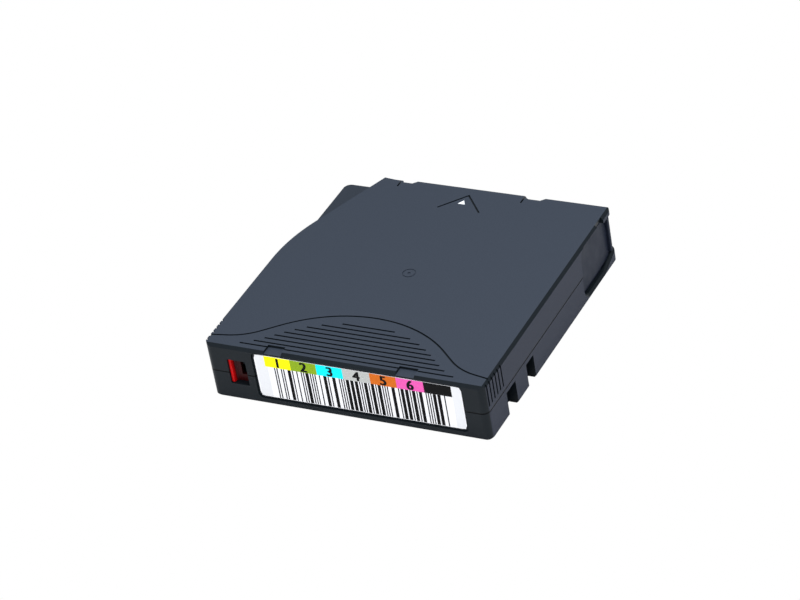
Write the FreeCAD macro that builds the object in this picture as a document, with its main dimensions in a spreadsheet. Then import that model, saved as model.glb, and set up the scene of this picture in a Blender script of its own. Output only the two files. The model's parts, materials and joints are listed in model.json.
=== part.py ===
"""Half-inch data tape cartridge: a two-part moulded housing round one sprung, braked reel.

Frame: millimetres, origin at the middle of the footprint on the bottom face. +X points to the
door side, +Y is the way the cartridge goes into the drive, +Z is up.
"""
import FreeCAD, Part
import Sketcher
import math
import os

Vector = FreeCAD.Vector

SIZES = [
    # housing
    ("case_width", 102.0),
    ("case_depth", 105.4),
    ("case_height", 21.5),
    ("wall", 2.0),
    ("plate", 2.0),
    ("parting_height", 10.9),
    ("parting_gap", 0.25),
    ("corner_round", 2.5),
    ("bottom_chamfer", 0.7),
    ("top_chamfer", 1.0),
    # stepped front left corner
    ("step_start", -2.9),
    ("step_arc", 64.0),
    ("step_angle", 21.7),
    ("step_drop", 5.9),
    # reel axis and its opening
    ("reel_axis_y", 1.2),
    ("opening_radius", 21.5),
    # gripper notches
    ("notch_depth", 3.6),
    ("notch_height", 9.1),
    ("notch_skin", 1.4),
    ("rear_notch_start", -38.4),
    ("rear_notch_length", 7.0),
    ("front_notch_start", -22.8),
    ("front_notch_length", 5.7),
    # leader opening and door
    ("door_skin", 1.35),
    ("door_gap", 0.12),
    ("door_thickness", 1.0),
    ("door_length", 27.1),
    ("door_front_inset", 2.3),
    ("door_travel", 21.0),
    ("door_bottom", 3.4),
    ("door_head_gap", 0.3),
    ("door_tongue", 0.5),
    ("groove_depth", 0.8),
    ("door_overlap", 2.2),
    ("opening_corner", 4.0),
    ("opening_lintel", 0.8),
    ("lip_height", 1.7),
    ("lip_slope_length", 11.2),
    ("post_height", 4.9),
    ("corner_block_length", 7.2),
    ("corner_block_drop", 0.3),
    ("finger_slot_inset", 12.1),
    ("lug_length", 1.4),
    ("lug_reach", 1.2),
    ("lip_chamfer", 0.8),
    # rear face
    ("window_inset", 7.7),
    ("window_width", 6.9),
    ("window_bottom", 6.5),
    ("window_top", 16.15),
    ("label_offset", 3.6),
    ("label_inset", 8.4),
    ("label_bottom", 3.2),
    ("label_head_room", 1.6),
    ("label_round", 1.8),
    ("label_thickness", 0.15),
    ("label_margin", 0.8),
    ("label_recess", 0.5),
    # write-protect tab
    ("tab_thickness", 1.2),
    ("tab_face_width", 3.5),
    ("tab_foot_height", 2.7),
    ("tab_rib_width", 0.85),
    ("tab_rib_reach", 1.5),
    ("tab_travel", 3.3),
    # top face
    ("line_width", 0.65),
    ("line_depth", 0.4),
    ("wave_apex_inset", 26.5),
    ("wave_crest_radius", 45.6),
    ("wave_crest_half", 30.0),
    ("wave_foot_inset", 2.2),
    ("wave_foot_radius", 21.0),
    ("grip_count", 9.0),
    ("grip_offset", 5.55),
    ("grip_pitch", 2.21),
    ("grip_margin", 4.4),
    ("arrow_inset", 5.1),
    ("arrow_half_width", 7.7),
    ("arrow_length", 8.8),
    ("side_grip_count", 6.0),
    ("side_grip_inset", 2.4),
    ("side_grip_pitch", 2.16),
    ("side_grip_bottom", 12.7),
    ("side_grip_width", 0.75),
    ("side_grip_depth", 0.6),
    ("rear_step_depth", 0.9),
    ("rear_step_length", 4.4),
    ("relief_depth", 1.2),
    ("relief_face_depth", 4.0),
    ("relief_setback", 2.5),
    ("relief_skin", 1.4),
    ("left_slit_x", -27.5),
    ("left_flat_x", -23.0),
    ("right_slit_x", 19.6),
    ("right_flat_x", 25.7),
    ("slit_width", 0.6),
    ("slit_depth", 0.9),
    ("slit_length", 5.2),
    ("mark_x", -0.4),
    ("mark_y", 0.2),
    ("mark_radius", 2.4),
    # screws
    ("end_screw_inset", 4.7),
    ("side_screw_inset", 7.5),
    ("side_screw_setback", 3.5),
    ("front_screw_x", 24.0),
    ("rear_screw_x", 30.0),
    ("boss_radius", 2.9),
    ("screw_head_radius", 2.0),
    ("screw_head_height", 1.5),
    ("screw_head_seat", 6.2),
    ("screw_shank_radius", 1.0),
    ("screw_length", 8.0),
    # reel
    ("reel_side_gap", 1.3),
    ("reel_head_room", 2.05),
    ("flange_thickness", 1.0),
    ("flange_rest", 2.6),
    ("hub_radius", 22.0),
    ("hub_wall", 2.8),
    ("hub_floor_bottom", 1.9),
    ("hub_boss_radius", 20.8),
    ("tape_side_gap", 0.1),
    ("flange_overhang", 2.1),
    # drive gear under the reel
    ("gear_tooth_count", 60.0),
    ("brake_tooth_count", 36.0),
    ("gear_inner_radius", 16.3),
    ("gear_outer_radius", 20.3),
    ("gear_root", 1.4),
    ("tooth_height", 1.0),
    ("pilot_radius", 4.0),
    ("plate_radius", 14.8),
    ("plate_thickness", 1.1),
    # brake
    ("brake_inner_radius", 12.9),
    ("brake_outer_radius", 17.0),
    ("brake_root", 6.6),
    ("mesh_gap", 0.2),
    ("brake_disc_thickness", 1.7),
    ("brake_boss_radius", 7.0),
    ("brake_boss_top", 15.2),
    ("key_length", 10.4),
    ("key_width", 2.0),
    ("key_gap", 0.15),
    ("release_travel", 1.8),
    ("spring_radius", 8.6),
    ("spring_wire", 1.0),
    ("spring_turns", 3.5),
    # spider
    ("leg_circle", 18.3),
    ("leg_radius", 2.0),
    ("leg_gap", 0.2),
    ("leg_clearance", 0.5),
    ("spider_rest_gap", 0.2),
    ("spider_thickness", 1.2),
    ("spider_arm_width", 4.0),
    # leader pin
    ("pin_side_inset", 9.0),
    ("pin_front_inset", 9.2),
    ("pin_shaft_radius", 1.25),
    ("pin_flange_radius", 2.3),
    ("pin_end_gap", 0.15),
    ("pin_seat_depth", 0.9),
    ("clip_radius", 2.1),
    ("leader_thickness", 0.2),
    ("leaf_thickness", 0.3),
    # door spring
    ("coil_side_inset", 23.0),
    ("coil_front_inset", 25.7),
    ("coil_radius", 2.8),
    ("coil_wire", 0.6),
    ("coil_post_radius", 2.0),
    ("spring_stop_reach", 9.0),
    ("door_lug_inset", 12.0),
    # memory
    ("board_side_inset", 22.5),
    ("board_length", 19.0),
    ("board_width", 8.4),
    ("board_thickness", 0.8),
    # locating recesses
    ("datum_side_inset", 6.5),
    ("datum_front_inset", 21.7),
    ("datum_radius", 2.0),
    ("datum_depth", 2.4),
    ("datum_slot_length", 5.5),
]

REAR_STEPS = [(-28.8, -22.4), (19.4, 26.2)]

document = FreeCAD.newDocument("tape_cartridge")
sheet = document.addObject("Spreadsheet::Sheet", "sizes")


class Size:
    """A length that carries both its number and the spreadsheet formula that gives it."""

    def __init__(self, number, formula):
        self.number = float(number)
        self.formula = formula

    def __add__(self, other):
        other = as_size(other)
        return Size(self.number + other.number, f"({self.formula} + {other.formula})")

    def __sub__(self, other):
        other = as_size(other)
        return Size(self.number - other.number, f"({self.formula} - {other.formula})")

    def __mul__(self, other):
        other = as_size(other)
        return Size(self.number * other.number, f"({self.formula} * {other.formula})")

    def __truediv__(self, other):
        other = as_size(other)
        return Size(self.number / other.number, f"({self.formula} / {other.formula})")

    def __neg__(self):
        return Size(-self.number, f"(0 - {self.formula})")

    def __radd__(self, other):
        return as_size(other) + self

    def __rsub__(self, other):
        return as_size(other) - self

    def __rmul__(self, other):
        return as_size(other) * self

    def __float__(self):
        return self.number


def as_size(value):
    """A plain number becomes a Size whose formula is the number itself."""
    if isinstance(value, Size):
        return value
    return Size(value, f"({float(value)!r})")


def sine(angle):
    return Size(math.sin(math.radians(angle.number)), f"sin({angle.formula})")


def smaller(first, second):
    return Size(min(first.number, second.number), f"min({first.formula}; {second.formula})")


def cosine(angle):
    return Size(math.cos(math.radians(angle.number)), f"cos({angle.formula})")


class Table:
    """The named sizes, kept as the spreadsheet's aliases."""


size = Table()
for row, (alias, number) in enumerate(SIZES, start=1):
    sheet.set(f"A{row}", alias)
    sheet.set(f"B{row}", str(number))
    sheet.setAlias(f"B{row}", alias)
    setattr(size, alias, Size(number, f"sizes.{alias}"))
document.recompute()

# places worked out from the sizes above
half_width = size.case_width / 2
half_depth = size.case_depth / 2
outside = 2.0
ceiling = size.case_height - size.plate
side_inner = half_width - size.wall
end_inner = half_depth - size.wall
skin_inner = half_width - size.door_skin
door_outer = skin_inner - size.door_gap
door_inner = door_outer - size.door_thickness
flange_radius = smaller(side_inner, end_inner - size.reel_axis_y) - size.reel_side_gap
pack_radius = flange_radius - size.flange_overhang
tape_bottom = size.flange_rest + size.flange_thickness + size.tape_side_gap
upper_flange_rest = ceiling - size.reel_head_room - size.flange_thickness
tape_width = upper_flange_rest - size.tape_side_gap - tape_bottom
hub_floor_top = size.flange_rest + size.flange_thickness
label_plane = half_depth - size.label_recess
brake_tip = size.brake_root + size.mesh_gap
brake_disc_bottom = brake_tip + size.tooth_height
brake_disc_top = brake_disc_bottom + size.brake_disc_thickness
spider_rest = hub_floor_top + size.spider_rest_gap
leg_clear_top = spider_rest + size.spider_thickness + size.release_travel + size.leg_clearance
tab_front = end_inner - size.key_gap
step_height = size.case_height - size.step_drop
door_top = ceiling - size.door_head_gap
opening_top = size.case_height - size.opening_lintel
corner_block_underside = ceiling - size.corner_block_drop
label_height = size.case_height - size.label_head_room - size.label_bottom
door_front = half_depth - size.door_front_inset
door_rear = door_front - size.door_length
opening_rear = door_rear + size.door_overlap
lip_flat_end = half_depth - size.lip_slope_length
corner_block_start = half_depth - size.corner_block_length
finger_slot_start = half_depth - size.finger_slot_inset
window_left = size.window_inset - half_width
window_right = window_left + size.window_width
label_left = window_right + size.label_offset
label_width = half_width - size.label_inset - label_left
wave_apex = size.wave_apex_inset - half_depth
wave_foot_x = half_width - size.wave_foot_inset
grip_first = wave_apex - size.grip_offset
arrow_apex = half_depth - size.arrow_inset
side_grip_first = size.side_grip_inset - half_depth
pin_x = half_width - size.pin_side_inset
pin_y = half_depth - size.pin_front_inset
coil_x = half_width - size.coil_side_inset
coil_y = half_depth - size.coil_front_inset
door_lug_y = door_front - size.door_lug_inset
board_x = half_width - size.board_side_inset
datum_x = half_width - size.datum_side_inset
datum_y = half_depth - size.datum_front_inset
shelf_underside = step_height - size.plate
end_screw_y = half_depth - size.end_screw_inset
screw_places = [
    (size.side_screw_inset - half_width, end_screw_y - size.side_screw_setback),
    (-size.front_screw_x, end_screw_y), (size.front_screw_x, end_screw_y),
    (-size.rear_screw_x, -end_screw_y), (size.front_screw_x, -end_screw_y),
]


# ---------------------------------------------------------------- feature helpers

def new_body(name):
    body = document.addObject("PartDesign::Body", name)
    body.Label = name
    return body


def origin_plane(body, role):
    for feature in body.Origin.OriginFeatures:
        if feature.Role == role:
            return feature
    raise ValueError(role)


def bind(sketch, constraint, value):
    index = sketch.addConstraint(constraint)
    sketch.setExpression(f"Constraints[{index}]", as_size(value).formula)


def draw_loop(sketch, points):
    """Closed outline. A point is (x, y) or (x, y, radius, turn): the edge that arrives there is an
    arc of that radius, turning left for turn = 1 and right for turn = -1."""
    first = sketch.GeometryCount
    count = len(points)
    for index, point in enumerate(points):
        before = points[index - 1]
        start = Vector(float(before[0]), float(before[1]), 0)
        end = Vector(float(point[0]), float(point[1]), 0)
        if len(point) == 2:
            sketch.addGeometry(Part.LineSegment(start, end), False)
            continue
        radius, turn = float(point[2]), point[3]
        chord = end - start
        rise = math.sqrt(max(radius ** 2 - (chord.Length / 2) ** 2, 0.0))
        across = Vector(-chord.y, chord.x, 0).normalize() * (rise * turn)
        centre = (start + end) / 2 + across
        circle = Part.Circle(centre, Vector(0, 0, 1), radius)
        low, high = (start, end) if turn > 0 else (end, start)
        angle_low = math.atan2(low.y - centre.y, low.x - centre.x)
        angle_high = math.atan2(high.y - centre.y, high.x - centre.x)
        if angle_high < angle_low:
            angle_high += 2 * math.pi
        sketch.addGeometry(Part.ArcOfCircle(circle, angle_low, angle_high), False)
    for index, point in enumerate(points):
        arc = len(point) > 2
        end_of_edge = 1 if arc and point[3] < 0 else 2
        following = points[(index + 1) % count]
        start_of_next = 2 if len(following) > 2 and following[3] < 0 else 1
        edge = first + index
        after = first + (index + 1) % count
        sketch.addConstraint(Sketcher.Constraint("Coincident", edge, end_of_edge, after, start_of_next))
        bind(sketch, Sketcher.Constraint("DistanceX", -1, 1, edge, end_of_edge, float(point[0])), point[0])
        bind(sketch, Sketcher.Constraint("DistanceY", -1, 1, edge, end_of_edge, float(point[1])), point[1])
        if arc:
            bind(sketch, Sketcher.Constraint("Radius", edge, float(point[2])), point[2])


def draw_circle(sketch, x, y, radius):
    circle = Part.Circle(Vector(float(x), float(y), 0), Vector(0, 0, 1), float(radius))
    index = sketch.addGeometry(circle, False)
    bind(sketch, Sketcher.Constraint("DistanceX", -1, 1, index, 3, float(x)), x)
    bind(sketch, Sketcher.Constraint("DistanceY", -1, 1, index, 3, float(y)), y)
    bind(sketch, Sketcher.Constraint("Radius", index, float(radius)), radius)


def new_sketch(body, name, role, offset, loops=(), circles=()):
    sketch = body.newObject("Sketcher::SketchObject", name)
    sketch.AttachmentSupport = [(origin_plane(body, role), "")]
    sketch.MapMode = "FlatFace"
    sketch.setExpression("AttachmentOffset.Base.z", as_size(offset).formula)
    for loop in loops:
        draw_loop(sketch, loop)
    for circle in circles:
        draw_circle(sketch, *circle)
    sketch.Visibility = False
    return sketch


def slab(body, name, low, high, loops=(), circles=(), role="XY_Plane"):
    """Pad from low to high along the plane's normal."""
    pad = body.newObject("PartDesign::Pad", name)
    pad.Profile = new_sketch(body, name + "_outline", role, low, loops, circles)
    pad.setExpression("Length", (as_size(high) - low).formula)
    return pad


def cut(body, name, low, high, loops=(), circles=(), role="XY_Plane"):
    """Pocket between low and high along the plane's normal."""
    pocket = body.newObject("PartDesign::Pocket", name)
    pocket.Profile = new_sketch(body, name + "_outline", role, low, loops, circles)
    pocket.setExpression("Length", (as_size(high) - low).formula)
    pocket.Reversed = True
    return pocket


def turned(body, name, outline):
    """Revolution of an outline of (radius, height) points about the reel's upright axis."""
    solid = body.newObject("PartDesign::Revolution", name)
    solid.Profile = new_sketch(body, name + "_outline", "XZ_Plane", 0, [outline])
    solid.ReferenceAxis = (origin_plane(body, "Z_Axis"), [""])
    solid.Angle = 360
    return solid


def place(obj, x=0, y=0, z=0):
    """The Placement of a sub-part drawn about its own axis, bound to the sheet."""
    for axis, value in (("x", x), ("y", y), ("z", z)):
        obj.setExpression(f"Placement.Base.{axis}", as_size(value).formula)


def box_loop(left, low, right, high):
    return [(left, low), (right, low), (right, high), (left, high)]


def polygon_loop(x, y, flat_radius):
    """Eight-sided outline about a centre, its flats at the given radius."""
    sides = 8
    corner = flat_radius / math.cos(math.pi / sides)
    points = []
    for index in range(sides):
        angle = (index + 0.5) * 2 * math.pi / sides
        points.append((x + corner * math.cos(angle), y + corner * math.sin(angle)))
    return points


def rounded_loop(left, low, right, high, radius):
    return [
        (left + radius, low), (right - radius, low),
        (right, low + radius, radius, 1), (right, high - radius),
        (right - radius, high, radius, 1), (left + radius, high),
        (left, high - radius, radius, 1), (left, low + radius),
        (left + radius, low, radius, 1),
    ][1:]


def chamfer_edges(body, name, feature, length, test):
    """Chamfer on the edges of a feature that a test of their bounding box picks out."""
    document.recompute()
    names = []
    for index, edge in enumerate(feature.Shape.Edges, start=1):
        if test(edge.BoundBox):
            names.append(f"Edge{index}")
    chamfer = body.newObject("PartDesign::Chamfer", name)
    chamfer.Base = (feature, names)
    chamfer.setExpression("Size", as_size(length).formula)
    return chamfer


def shape_feature(name, shape):
    feature = document.addObject("Part::Feature", name)
    feature.Shape = shape
    feature.Label = name
    return feature


def boolean(kind, name, base, tool):
    result = document.addObject("Part::" + kind, name)
    result.Base = base
    result.Tool = tool
    result.Label = name
    return result


# ---------------------------------------------------------------- shapes made with Part's functions

def block(left, low, bottom, right, high, top):
    """Box between two corners."""
    corner = Vector(float(left), float(low), float(bottom))
    far = Vector(float(right), float(high), float(top))
    return Part.makeBox(far.x - corner.x, far.y - corner.y, far.z - corner.z, corner)


def cylinder(x, y, bottom, radius, top):
    foot = Vector(float(x), float(y), float(bottom))
    return Part.makeCylinder(float(radius), float(top) - float(bottom), foot)


def prism(x, y, bottom, corner_radius, top, sides):
    """Upright regular prism, turned so that a flat faces each axis."""
    points = []
    for index in range(sides):
        angle = (index + 0.5) * 2 * math.pi / sides
        points.append(Vector(float(x) + float(corner_radius) * math.cos(angle),
                             float(y) + float(corner_radius) * math.sin(angle), float(bottom)))
    face = Part.Face(Part.makePolygon(points + points[:1]))
    return face.extrude(Vector(0, 0, float(top) - float(bottom)))


def revolved(x, y, outline):
    """Solid of revolution about an upright axis at (x, y) from (radius, height) points."""
    points = [Vector(float(radius), 0, float(height)) for radius, height in outline]
    wire = Part.makePolygon(points + [points[0]])
    solid = Part.Face(wire).revolve(Vector(0, 0, 0), Vector(0, 0, 1), 360)
    solid.translate(Vector(float(x), float(y), 0))
    return solid


def joined(shapes):
    return shapes[0].fuse(shapes[1:]).removeSplitter()


def leaf(points, thickness, bottom, top):
    """Upright strip of sheet along a bent line."""
    line = Part.makePolygon([Vector(float(x), float(y), float(bottom)) for x, y in points])
    mitred = 2
    outline = line.makeOffset2D(float(thickness) / 2, mitred, False, False, False)
    return Part.Face(outline).extrude(Vector(0, 0, float(top) - float(bottom)))


def wound_wire(radius, wire, level, pitch, turns, left_handed):
    """Coil about the Z axis from a level up: a six-sided bar mitred along a twelve-sided helix."""
    sense = -1 if left_handed else 1
    steps = round(turns * 12)
    path = []
    for step in range(steps + 1):
        turn = 2 * math.pi * turns * step / steps
        path.append(Vector(radius * math.cos(turn), sense * radius * math.sin(turn),
                           level + pitch * turns * step / steps))
    along = path[1] - path[0]
    side = along.cross(Vector(0, 0, 1)).normalize()
    over = side.cross(along).normalize()
    corners = []
    for index in range(6):
        angle = math.radians(60 * index)
        corners.append(path[0] + (side * math.cos(angle) + over * math.sin(angle)) * (float(wire) / 2))
    profile = Part.makePolygon(corners + corners[:1])
    mitred = 1
    return Part.makePolygon(path).makePipeShell([profile], True, False, mitred)


def tooth_ring(count, inner, outer, root, height, upward, skip, shift):
    """Ring of straight-sided radial teeth about the origin, sunk a little into the face they rise from.

    skip(angle) leaves a tooth out, shift turns the ring by that share of a pitch."""
    number = int(float(count))
    inner, outer = float(inner), float(outer)
    pitch = math.pi * (inner + outer) / number
    root_half, tip_half, sunk = 0.30 * pitch, 0.14 * pitch, 0.1
    sense = 1 if upward else -1
    teeth = []
    for index in range(number):
        angle = (index + shift) * 360 / number
        if skip(angle):
            continue
        corners = []
        for half, level in ((-root_half, -sunk), (root_half, -sunk), (tip_half, float(height)),
                            (-tip_half, float(height))):
            corners.append(Vector(inner, half, float(root) + sense * level))
        tooth = Part.Face(Part.makePolygon(corners + corners[:1])).extrude(Vector(outer - inner, 0, 0))
        tooth.rotate(Vector(0, 0, 0), Vector(0, 0, 1), angle)
        teeth.append(tooth)
    return teeth


# ---------------------------------------------------------------- outlines shared by the shells

def step_outline(offset, reach):
    """Points of the stepped corner's wall line, offset inwards, from the left side to past the front."""
    arc_centre_x = size.step_arc - half_width
    radius = size.step_arc - offset
    bend_x = arc_centre_x - radius * cosine(size.step_angle)
    bend_y = size.step_start + radius * sine(size.step_angle)
    slope = sine(size.step_angle) / cosine(size.step_angle)
    end_x = bend_x + slope * (reach - bend_y)
    return [
        (arc_centre_x - radius, size.step_start),
        (bend_x, bend_y, radius, -1),
        (end_x, reach),
    ]


def screw_loops(radius):
    return [polygon_loop(x, y, radius) for x, y in screw_places]


def notch_spans():
    return [
        (size.rear_notch_start, size.rear_notch_start + size.rear_notch_length),
        (size.front_notch_start, size.front_notch_start + size.front_notch_length),
    ]


def label_loop(margin):
    # the recess's plane looks along -Y, so X and Z keep their directions
    return rounded_loop(
        label_left - margin, size.label_bottom - margin,
        label_left + label_width + margin, size.label_bottom + label_height + margin,
        size.label_round)


# ---------------------------------------------------------------- lower shell

def make_lower_shell():
    body = new_body("lower_shell")
    outer = slab(body, "lower_block", 0, size.parting_height,
                 [rounded_loop(-half_width, -half_depth, half_width, half_depth, size.corner_round)])
    chamfer_edges(body, "bottom_edge", outer, size.bottom_chamfer, lambda box: box.ZMax < 0.01)
    rim = size.parting_height - size.parting_gap
    inset = size.parting_gap * 2
    cut(body, "parting_line", rim, size.parting_height + outside, [
        box_loop(-half_width - outside, -half_depth - outside, half_width + outside, half_depth + outside),
        rounded_loop(inset - half_width, inset - half_depth, half_width - inset, half_depth - inset,
                     size.corner_round)])
    floor = size.plate
    cut(body, "lower_hollow", floor, size.parting_height + outside,
        [box_loop(-side_inner, -end_inner, side_inner, end_inner)])
    cut(body, "lower_door_track", floor, size.parting_height + outside,
        [box_loop(side_inner - outside, door_rear - size.door_travel - 1, skin_inner, end_inner)])
    groove = size.door_gap
    cut(body, "lower_door_groove", floor - size.groove_depth, floor + outside,
        [box_loop(door_inner - groove, door_rear - size.door_travel - 1,
                  door_inner + size.door_tongue + groove, door_front + groove)])
    # gripper notches: hollow towers inside, cut in from both sides
    notch_face = half_width - size.notch_depth
    for index, (start, end) in enumerate(notch_spans()):
        for name, sign in (("right", 1), ("left", -1)):
            edge, inner = notch_face - size.notch_skin, side_inner + size.wall / 2
            low, high = (edge, inner) if sign > 0 else (-inner, -edge)
            slab(body, f"{name}_tower_{index}", floor - size.plate / 2, size.parting_height,
                 [box_loop(low, start - size.notch_skin, high, end + size.notch_skin)])
            low, high = notch_face, half_width + outside
            if sign < 0:
                low, high = -high, -low
            cut(body, f"{name}_notch_{index}", -outside, size.notch_height, [box_loop(low, start, high, end)])
    cut(body, "drive_opening", -outside, floor + outside,
        circles=[(0, size.reel_axis_y, size.opening_radius)])
    add_bosses(body, "lower_boss", screw_places, floor - size.plate / 2, size.parting_height)
    cut(body, "head_wells", -outside, size.screw_head_seat,
        circles=[(x, y, size.screw_head_radius + 0.3) for x, y in screw_places])
    cut(body, "shank_holes", 0, size.parting_height + outside, screw_loops(size.screw_shank_radius + 0.2))
    # leader opening: the wall is cut down to a lip that climbs to the front post
    lip = [
        (opening_rear, size.parting_height + outside),
        (opening_rear, size.lip_height + size.opening_corner),
        (opening_rear + size.opening_corner, size.lip_height, size.opening_corner, 1),
        (lip_flat_end, size.lip_height),
        (door_front, size.post_height),
        (half_depth + outside, size.post_height),
        (half_depth + outside, size.parting_height + outside),
    ]
    cut(body, "lower_opening", door_outer, half_width + outside, [lip], role="YZ_Plane")
    lip_cut = body.Tip
    chamfer_edges(body, "lip_chamfer", lip_cut, size.lip_chamfer, lambda box: (
        box.XMin > float(half_width) - 0.01 and box.YMin > float(opening_rear) + 0.5
        and float(size.lip_height) - 0.01 < box.ZMin and box.ZMax < float(size.parting_height) - 0.5
        and box.YLength > 1))
    # leader pin seat, open towards the door
    seat = size.pin_flange_radius + size.pin_end_gap
    cut(body, "lower_pin_seat", floor - size.pin_seat_depth, floor + outside,
        [pin_seat_loop(seat, door_inner)])
    # write-protect window with the channel that guides the tab
    cut(body, "lower_window", end_inner - outside, half_depth + outside, [box_loop(
        window_left, size.window_bottom, window_right, size.parting_height + outside)],
        role="XZ_Plane")
    foot = size.window_bottom + size.key_gap
    left, right = window_left - 1.4, window_right + size.tab_travel + 0.6
    channel = size.tab_thickness + 2 * size.key_gap
    slab(body, "tab_ledge", floor - size.plate / 2, foot - size.key_gap, [
        box_loop(left, -end_inner - 0.5, right, channel + 1 - end_inner)])
    slab(body, "tab_fence", floor - size.plate / 2, size.window_bottom + size.tab_foot_height, [
        box_loop(left, channel - end_inner, right, channel + 1 - end_inner)])
    cut(body, "lower_label_recess", label_plane, half_depth + outside, [label_loop(size.label_margin)],
        role="XZ_Plane")
    # ribs that carry the memory board at forty-five degrees
    reach = size.board_width * cosine(Size(45, "45"))
    ramp = [(-end_inner - 0.5, floor - 0.5), (reach - end_inner, floor - 0.5), (reach - end_inner, floor),
            (-end_inner, floor + reach), (-end_inner - 0.5, floor + reach)]
    for index, place_x in enumerate((board_x + 2, board_x + size.board_length - 4)):
        slab(body, f"board_rib_{index}", place_x, place_x + 1.4, [ramp], role="YZ_Plane")
    # locating recesses for the drive
    slab(body, "datum_pad", floor - size.plate / 2, size.datum_depth + 0.8,
         [polygon_loop(datum_x, datum_y, size.datum_radius + 1.2)])
    slab(body, "datum_slot_pad", floor - size.plate / 2, size.datum_depth + 0.8, [box_loop(
        -datum_x - size.datum_slot_length / 2 - 1, datum_y - size.datum_radius - 1,
        size.datum_slot_length / 2 + 1 - datum_x, datum_y + size.datum_radius + 1)])
    cut(body, "datum_hole", -outside, size.datum_depth,
        circles=[(datum_x, datum_y, size.datum_radius)])
    slot_half = size.datum_slot_length / 2
    cut(body, "datum_slot", -outside, size.datum_depth, [rounded_loop(
        -datum_x - slot_half, datum_y - size.datum_radius,
        slot_half - datum_x, datum_y + size.datum_radius, size.datum_radius - 0.01)])
    return body


def add_bosses(body, name, places, low, high):
    for index, (x, y) in enumerate(places):
        slab(body, f"{name}_{index}", low, high, [polygon_loop(x, y, size.boss_radius)])


def pin_seat_loop(radius, right):
    """Round-ended slot about the leader pin, open towards +X."""
    return [
        (right, pin_y - radius), (right, pin_y + radius),
        (pin_x, pin_y + radius), (pin_x - radius, pin_y, radius, 1),
        (pin_x, pin_y - radius, radius, 1),
    ]


# ---------------------------------------------------------------- upper shell

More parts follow.
